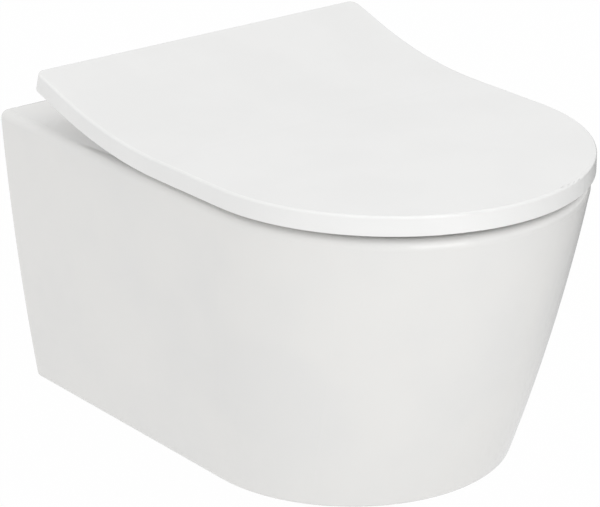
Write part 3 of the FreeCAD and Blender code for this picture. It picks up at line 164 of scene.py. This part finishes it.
glaze, shader, wire = new_finish("white_glaze", 0.09, Specular_IOR_Level=0.55,
                                 Coat_Roughness=0.04, Coat_Weight=GLAZE_COAT)
pooled = noise(wire, GLAZE_POOLS, 2).step(0.35, 0.65)
bare = axes(wire)[1].step(BARE_EDGE_START, BARE_EDGE_END)
glazed = 1 - bare
grain = noise(wire, CHINA_GRAIN, 4, 0.65)
speckle = grain.step(0.62, 0.7)
clay = wire.blend(speckle * 0.35, BARE_CHINA, BARE_CHINA_SPECK)
skin = wire.blend(pooled, PAN_GLAZE, PAN_GLAZE_POOLED)
peel = noise(wire, ORANGE_PEEL, 2) * glazed * 0.35 + noise(wire, SLOW_WAVES, 1) * glazed * 0.5
connect(wire, shader, bump=peel + grain * bare * 0.25, strength=0.1, depth=0.002,
        Base_Color=wire.blend(bare, skin, clay),
        Roughness=pooled * 0.03 + bare * 0.68 + GLAZE_ROUGHNESS,
        Coat_Weight=glazed * GLAZE_COAT)
paint(glaze, "ceramic_pan")


# ---------------------------------------------------------------- wall brackets and their screws
# Pressed steel angles on the wall studs, with washers, nuts and the screws that clamp the china
# shelf down. All are zinc plated: cool grey, with pale spangles and fine upright drawing lines.

ZINC = (0.46, 0.47, 0.47, 1)
ZINC_PALE = (0.60, 0.61, 0.60, 1)
ZINC_DULL = (0.33, 0.33, 0.31, 1)
SPANGLES = 420
STAINS = 60
DRAWING_LINES = 700
UPRIGHT_LINES = (1, 1, 0.06)
ZINC_ROUGHNESS = 0.28

zinc, shader, wire = new_finish("zinc_plate", 0.34, Metallic=1.0)
place = wire.node("ShaderNodeTexCoord", output="Object")
spangle = wire.node("ShaderNodeTexVoronoi", output="Color", Vector=place, Scale=SPANGLES)
spangle = wire.node("ShaderNodeSeparateColor", Color=spangle)
stain = noise(wire, STAINS, 4, 0.6).step(0.52, 0.75)
drawn = noise(wire, DRAWING_LINES, 3, 0.6, UPRIGHT_LINES)
plate = wire.blend(spangle * 0.7, ZINC, ZINC_PALE)
connect(wire, shader, bump=drawn + spangle * 0.2, strength=0.16, depth=0.0003,
        Base_Color=wire.blend(stain * 0.6, plate, ZINC_DULL),
        Roughness=spangle * 0.12 + stain * 0.18 + ZINC_ROUGHNESS)
paint(zinc, "wall_bracket_left", "wall_bracket_right", "stud_washers", "stud_nuts",
      "clamp_screws")


# ---------------------------------------------------------------- shelf bushes and cone nuts
# Natural nylon mouldings: milky, a little waxy, with the fine matt grain of the mould.

NYLON = (0.74, 0.72, 0.64, 1)
NYLON_THICK = (0.66, 0.63, 0.54, 1)
NYLON_CLOUDS = 130
NYLON_GRAIN = 2600
NYLON_ROUGHNESS = 0.36

nylon, shader, wire = new_finish("natural_nylon", 0.42, Specular_IOR_Level=0.45)
cloud = noise(wire, NYLON_CLOUDS, 3).step(0.35, 0.7)
grain = noise(wire, NYLON_GRAIN, 2)
connect(wire, shader, bump=grain, strength=0.14, depth=0.0002,
        Base_Color=wire.blend(cloud, NYLON, NYLON_THICK),
        Roughness=grain * 0.12 + NYLON_ROUGHNESS)
paint(nylon, "shelf_bushes", "cone_nuts")


# ---------------------------------------------------------------- hinge posts and pins
# Turned stainless steel. The tool leaves fine rings round the upright posts and fine level lines
# on the small shafts, with a silky grey shine.

STEEL = (0.52, 0.52, 0.51, 1)
STEEL_PALE = (0.66, 0.66, 0.65, 1)
TOOL_RINGS = 1300
LEVEL_RINGS = (0.04, 0.04, 1)
HANDLING_MARKS = 500
STEEL_ROUGHNESS = 0.16

steel, shader, wire = new_finish("turned_steel", 0.24, Metallic=1.0)
rings = noise(wire, TOOL_RINGS, 3, 0.6, LEVEL_RINGS)
marks = noise(wire, HANDLING_MARKS, 2)
connect(wire, shader, bump=rings, strength=0.15, depth=0.0002,
        Base_Color=wire.blend(rings.step(0.35, 0.65), STEEL, STEEL_PALE),
        Roughness=rings * 0.14 + marks * 0.08 + STEEL_ROUGHNESS)
paint(steel, "hinge_post_left", "hinge_post_right", "seat_damper_shaft", "cover_damper_shaft",
      "seat_pin", "cover_pin")


# ---------------------------------------------------------------- deck gaskets and sleeves
# A clear grey silicone ring under each post's foot, and a black rubber sleeve in each deck hole,
# which the cone nut spreads from below. The rubber has a pale bloom in places.

SILICONE = (0.62, 0.62, 0.60, 1)
SILICONE_PALE = (0.70, 0.70, 0.68, 1)
SILICONE_CLOUDS = 90
SILICONE_GRAIN = 1500
SILICONE_ROUGHNESS = 0.3
SLEEVE = (0.022, 0.022, 0.023, 1)
SLEEVE_BLOOM = (0.055, 0.055, 0.052, 1)
BLOOM_PATCHES = 240
SLEEVE_GRAIN = 2400
SLEEVE_ROUGHNESS = 0.62

silicone, shader, wire = new_finish("clear_silicone", 0.38, Subsurface_Weight=0.15,
                                    Subsurface_Scale=0.002)
grain = noise(wire, SILICONE_GRAIN, 2)
connect(wire, shader, bump=grain, strength=0.12, depth=0.0002,
        Base_Color=wire.blend(noise(wire, SILICONE_CLOUDS, 2), SILICONE, SILICONE_PALE),
        Roughness=grain * 0.16 + SILICONE_ROUGHNESS)
paint(silicone, "deck_gaskets")

rubber, shader, wire = new_finish("sleeve_rubber", 0.7, Specular_IOR_Level=0.35)
bloom = noise(wire, BLOOM_PATCHES, 4, 0.6).step(0.5, 0.75)
grain = noise(wire, SLEEVE_GRAIN, 3)
connect(wire, shader, bump=grain, strength=0.22, depth=0.0002,
        Base_Color=wire.blend(bloom, SLEEVE, SLEEVE_BLOOM),
        Roughness=bloom * 0.15 + SLEEVE_ROUGHNESS)
paint(rubber, "expansion_sleeves")


# ---------------------------------------------------------------- hinge blocks
# Die-cast zinc, polished and chromed. The plating is bright, with faint waves of the polishing
# and a light haze where it has been wiped.

CHROME = (0.74, 0.75, 0.76, 1)
CHROME_SHADE = (0.64, 0.65, 0.67, 1)
POLISHING_WAVES = 70
FINE_WAVES = 900
HAZE_PATCHES = 400
CHROME_ROUGHNESS = 0.05

chrome, shader, wire = new_finish("bright_chrome", 0.08, Metallic=1.0)
wave = noise(wire, POLISHING_WAVES, 2)
haze = noise(wire, HAZE_PATCHES, 4, 0.6).step(0.5, 0.8)
connect(wire, shader, bump=wave + noise(wire, FINE_WAVES, 2) * 0.15, strength=0.07,
        depth=0.0006, Base_Color=wire.blend(haze, CHROME, CHROME_SHADE),
        Roughness=haze * 0.07 + CHROME_ROUGHNESS)
paint(chrome, "hinge_block_left", "hinge_block_right")


# ---------------------------------------------------------------- release buttons
# Moulded grey plastic with a fine spark-eroded grain, a little polished where a finger presses.

BUTTON_GREY = (0.25, 0.26, 0.27, 1)
BUTTON_WORN = (0.31, 0.32, 0.33, 1)
BUTTON_GRAIN = 1900
TOUCHED_PATCHES = 120
BUTTON_ROUGHNESS = 0.34

button, shader, wire = new_finish("button_grey", 0.45)
grain = noise(wire, BUTTON_GRAIN, 3, 0.6)
touched = noise(wire, TOUCHED_PATCHES, 2).step(0.45, 0.65)
connect(wire, shader, bump=grain, strength=0.25, depth=0.0002,
        Base_Color=wire.blend(touched, BUTTON_GREY, BUTTON_WORN),
        Roughness=grain * 0.15 + (1 - touched) * 0.1 + BUTTON_ROUGHNESS)
paint(button, "release_button_left", "release_button_right")


# ---------------------------------------------------------------- button springs
# A small coil of drawn stainless wire behind each button's plate, set against the end of its slot
# in the hinge block. On the real hinge it closes up as the button is pressed; this coil keeps its
# rest length.

WIRE_RADIUS = 0.00025
WIRE_SIDES = 12
SPRING_TURNS = 3
STEPS_TO_A_TURN = 28
SMOOTH_UNDER = math.radians(50)
WELD = 0.00001
WIRE_GRAIN = 2600
DULL_PATCHES = 420
WIRE_ROUGHNESS = 0.18

drawn_wire, shader, wire = new_finish("drawn_wire", 0.25, Metallic=1.0)
grain = noise(wire, WIRE_GRAIN, 3, 0.6)
dull = noise(wire, DULL_PATCHES, 2).step(0.4, 0.7)
connect(wire, shader, bump=grain, strength=0.1, depth=0.0001,
        Base_Color=wire.blend(dull, STEEL_PALE, STEEL),
        Roughness=grain * 0.1 + dull * 0.1 + WIRE_ROUGHNESS)
for side in ("left", "right"):
    low, high = [Vector(corner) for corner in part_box("button_spring_" + side)]
    middle = (low + high) / 2
    reach = high.y - low.y
    turn_radius = (high.x - low.x) / 2 - WIRE_RADIUS
    bpy.ops.mesh.primitive_circle_add(vertices=WIRE_SIDES, radius=WIRE_RADIUS,
                                      fill_type="NOTHING", location=(turn_radius, 0, 0),
                                      rotation=(math.pi / 2, 0, 0))
    coil = bpy.context.object
    coil.name = "spring_coil_" + side
    bpy.ops.object.transform_apply()
    turned = coil.modifiers.new("turns", "SCREW")
    turned.iterations = SPRING_TURNS
    turned.screw_offset = (reach - 2 * WIRE_RADIUS) / SPRING_TURNS
    turned.steps = turned.render_steps = STEPS_TO_A_TURN
    bpy.ops.object.modifier_apply(modifier="turns")
    bpy.ops.object.mode_set(mode="EDIT")
    bpy.ops.mesh.select_all(action="SELECT")
    bpy.ops.mesh.remove_doubles(threshold=WELD)
    bpy.ops.mesh.fill_holes(sides=0)
    bpy.ops.mesh.normals_make_consistent(inside=False)
    bpy.ops.object.mode_set(mode="OBJECT")
    coil.location = (middle.x, low.y + WIRE_RADIUS, middle.z)
    coil.rotation_euler = (-math.pi / 2, 0, 0)
    bpy.ops.object.transform_apply()
    bpy.ops.object.shade_smooth_by_angle(angle=SMOOTH_UNDER)
    coil.data.materials.append(drawn_wire)
    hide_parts("button_spring_" + side)
    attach(coil, "hinge_carrier")
    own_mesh(coil)
    coil.select_set(False)


# ---------------------------------------------------------------- damper cartridges and bushes
# Black acetal, turned and moulded, with a low sheen and flow marks along the hinge's axis.

ACETAL = (0.018, 0.018, 0.020, 1)
ACETAL_FLOW = (0.032, 0.032, 0.035, 1)
FLOW_MARKS = 160
ALONG_THE_HINGE = (0.3, 1, 1)
ACETAL_GRAIN = 2100
ACETAL_ROUGHNESS = 0.28

acetal, shader, wire = new_finish("black_acetal", 0.35)
flow = noise(wire, FLOW_MARKS, 3, 0.6, ALONG_THE_HINGE).step(0.4, 0.7)
grain = noise(wire, ACETAL_GRAIN, 2)
connect(wire, shader, bump=grain, strength=0.12, depth=0.0002,
        Base_Color=wire.blend(flow, ACETAL, ACETAL_FLOW),
        Roughness=grain * 0.1 + flow * 0.08 + ACETAL_ROUGHNESS)
paint(acetal, "seat_damper", "cover_damper", "seat_bush", "cover_bush")


# ---------------------------------------------------------------- seat and cover
# Pressed white thermoset with a satin gloss, whiter than the china. The press leaves the faintest
# ripple on the broad faces, and the white clouds a little from place to place.

DUROPLAST = (0.885, 0.885, 0.877, 1)
DUROPLAST_DEEP = (0.868, 0.868, 0.860, 1)
DUROPLAST_CLOUDS = 12
PRESS_RIPPLES = 6
DUROPLAST_GRAIN = 260
DUROPLAST_ROUGHNESS = 0.17

duroplast, shader, wire = new_finish("white_duroplast", 0.2, Specular_IOR_Level=0.5,
                                     Coat_Weight=0.2, Coat_Roughness=0.1)
cloud = noise(wire, DUROPLAST_CLOUDS, 3).step(0.35, 0.65)
ripple = noise(wire, PRESS_RIPPLES, 1)
grain = noise(wire, DUROPLAST_GRAIN, 3, 0.6)
connect(wire, shader, bump=ripple + grain * 0.02, strength=0.08, depth=0.0015,
        Base_Color=wire.blend(cloud, DUROPLAST, DUROPLAST_DEEP),
        Roughness=grain * 0.05 + cloud * 0.02 + DUROPLAST_ROUGHNESS)
paint(duroplast, "seat_ring", "seat_cover")


# ---------------------------------------------------------------- buffers
# Soft white elastomer pads, pegged into the seat and the cover, slightly yellower and matt.

ELASTOMER = (0.70, 0.69, 0.64, 1)
ELASTOMER_RUBBED = (0.60, 0.59, 0.55, 1)
RUBBED_PATCHES = 300
ELASTOMER_GRAIN = 2300
ELASTOMER_ROUGHNESS = 0.48

elastomer, shader, wire = new_finish("white_elastomer", 0.55, Specular_IOR_Level=0.4)
rubbed = noise(wire, RUBBED_PATCHES, 4, 0.6).step(0.5, 0.75)
grain = noise(wire, ELASTOMER_GRAIN, 2)
connect(wire, shader, bump=grain, strength=0.2, depth=0.0002,
        Base_Color=wire.blend(rubbed, ELASTOMER, ELASTOMER_RUBBED),
        Roughness=grain * 0.14 + rubbed * 0.1 + ELASTOMER_ROUGHNESS)
paint(elastomer, "seat_buffers", "cover_buffers")


# ---------------------------------------------------------------- floor
# A plain white floor, a little below the pan. The camera sees it white, it keeps a soft shadow,
# and the gloss of the pan shows it bright on the left and dimmer to the far right.

WHITE = (1, 1, 1, 1)
BLACK = (0, 0, 0, 1)
FLOOR_WHITE = (0.86, 0.86, 0.86, 1)
FLOOR_RADIUS = 9
FLOOR_SIDES = 96
FLOOR_MIDDLE = (0, -0.27, -0.33)
SEEN_WHITE = 0.985
GLEAM = 0.9
GLEAM_FADE = 0.8
FAR_RIGHT = (0.99, 0.08)

bpy.ops.mesh.primitive_circle_add(vertices=FLOOR_SIDES, radius=FLOOR_RADIUS, fill_type="NGON",
                                  location=FLOOR_MIDDLE)
floor = bpy.context.object
floor.name = "pale_floor"
white, shader, wire = new_finish("pale_floor", 0.75)
shader.inputs["Base Color"].default_value = FLOOR_WHITE
across, along, _ = axes(wire)
far = (across * FAR_RIGHT[0] + along * FAR_RIGHT[1]).step(-0.1, 1.2)
seen = wire.node("ShaderNodeLightPath", output="Is Camera Ray")
gleam = wire.node("ShaderNodeLightPath", output="Is Glossy Ray")
glow = wire.node("ShaderNodeEmission", Strength=1.0,
                 Color=wire.blend(gleam * far * GLEAM_FADE, WHITE, BLACK))
mixed = wire.node("ShaderNodeMixShader", i0=seen * SEEN_WHITE + gleam * GLEAM,
                  i1=Wire(wire.tree, shader.outputs["BSDF"]), i2=glow)
wire.tree.links.new(mixed.socket, wire.tree.nodes["Material Output"].inputs["Surface"])
floor.data.materials.append(white)


# ---------------------------------------------------------------- light
# Soft light all round, which fades towards the far right, with a broad softbox above and another
# in front on the left. The camera and the gloss see a plain white room.

AROUND = 0.87
FADE = 0.66

world = bpy.data.worlds.new("white_room")
bpy.context.scene.world = world
world.use_nodes = True
wire = Wire(world.node_tree)
across, along, _ = axes(wire, origin="Generated")
fade = (across * FAR_RIGHT[0] + along * FAR_RIGHT[1]).step(0.0, 1.0) * FADE
around = wire.node("ShaderNodeBackground", Strength=AROUND,
                   Color=wire.blend(fade, WHITE, BLACK))
plain = wire.node("ShaderNodeBackground", Strength=1.0, Color=WHITE)
camera_ray, glossy_ray, through_ray = [
    wire.node("ShaderNodeLightPath", output="Is " + kind + " Ray")
    for kind in ("Camera", "Glossy", "Transmission")]
direct = wire.maths("MAXIMUM", camera_ray, wire.maths("MAXIMUM", glossy_ray, through_ray))
mixed = wire.node("ShaderNodeMixShader", i0=direct, i1=around, i2=plain)
wire.tree.links.new(mixed.socket, wire.tree.nodes["World Output"].inputs["Surface"])


def softbox(name, width, depth, power, place, target):
    """A broad soft lamp at a place, turned towards a point."""
    lamp = bpy.data.lights.new(name, "AREA")
    lamp.shape = "RECTANGLE"
    lamp.size = width
    lamp.size_y = depth
    lamp.energy = power
    item = bpy.data.objects.new(name, lamp)
    bpy.context.collection.objects.link(item)
    item.location = place
    item.rotation_mode = "QUATERNION"
    item.rotation_quaternion = (Vector(target) - Vector(place)).to_track_quat("-Z", "Y")


softbox("top_light", width=2.4, depth=2.0, power=10,
        place=(-0.1, -1.3, 2.3), target=(0, -0.35, 0.05))
softbox("front_light", width=1.6, depth=1.8, power=12,
        place=(-0.7, -2.9, 0.7), target=(0, -0.3, -0.05))


# ---------------------------------------------------------------- camera
# A long lens from the front left, a little above, as in the photograph.

TARGET = Vector((0.0050, -0.2308, -0.0406))
EYE = Vector((-1.5625, -2.2339, 0.9440))
ROLL = math.radians(-0.15)
LENS_LENGTH = 175.69
SENSOR_WIDTH = 36
SHIFT = (-0.0087, 0.0017)
FARTHEST_SEEN = 60

lens = bpy.data.cameras.new("camera")
lens.lens = LENS_LENGTH
lens.sensor_width = SENSOR_WIDTH
lens.shift_x, lens.shift_y = SHIFT
lens.clip_end = FARTHEST_SEEN
camera = bpy.data.objects.new("camera", lens)
bpy.context.collection.objects.link(camera)
camera.location = EYE
camera.rotation_mode = "QUATERNION"
aim = (TARGET - EYE).to_track_quat("-Z", "Y").to_matrix().to_4x4()
aim = aim @ Matrix.Rotation(ROLL, 4, "Z")
camera.rotation_quaternion = aim.to_quaternion()
bpy.context.scene.camera = camera
bpy.context.scene.view_settings.view_transform = "Standard"
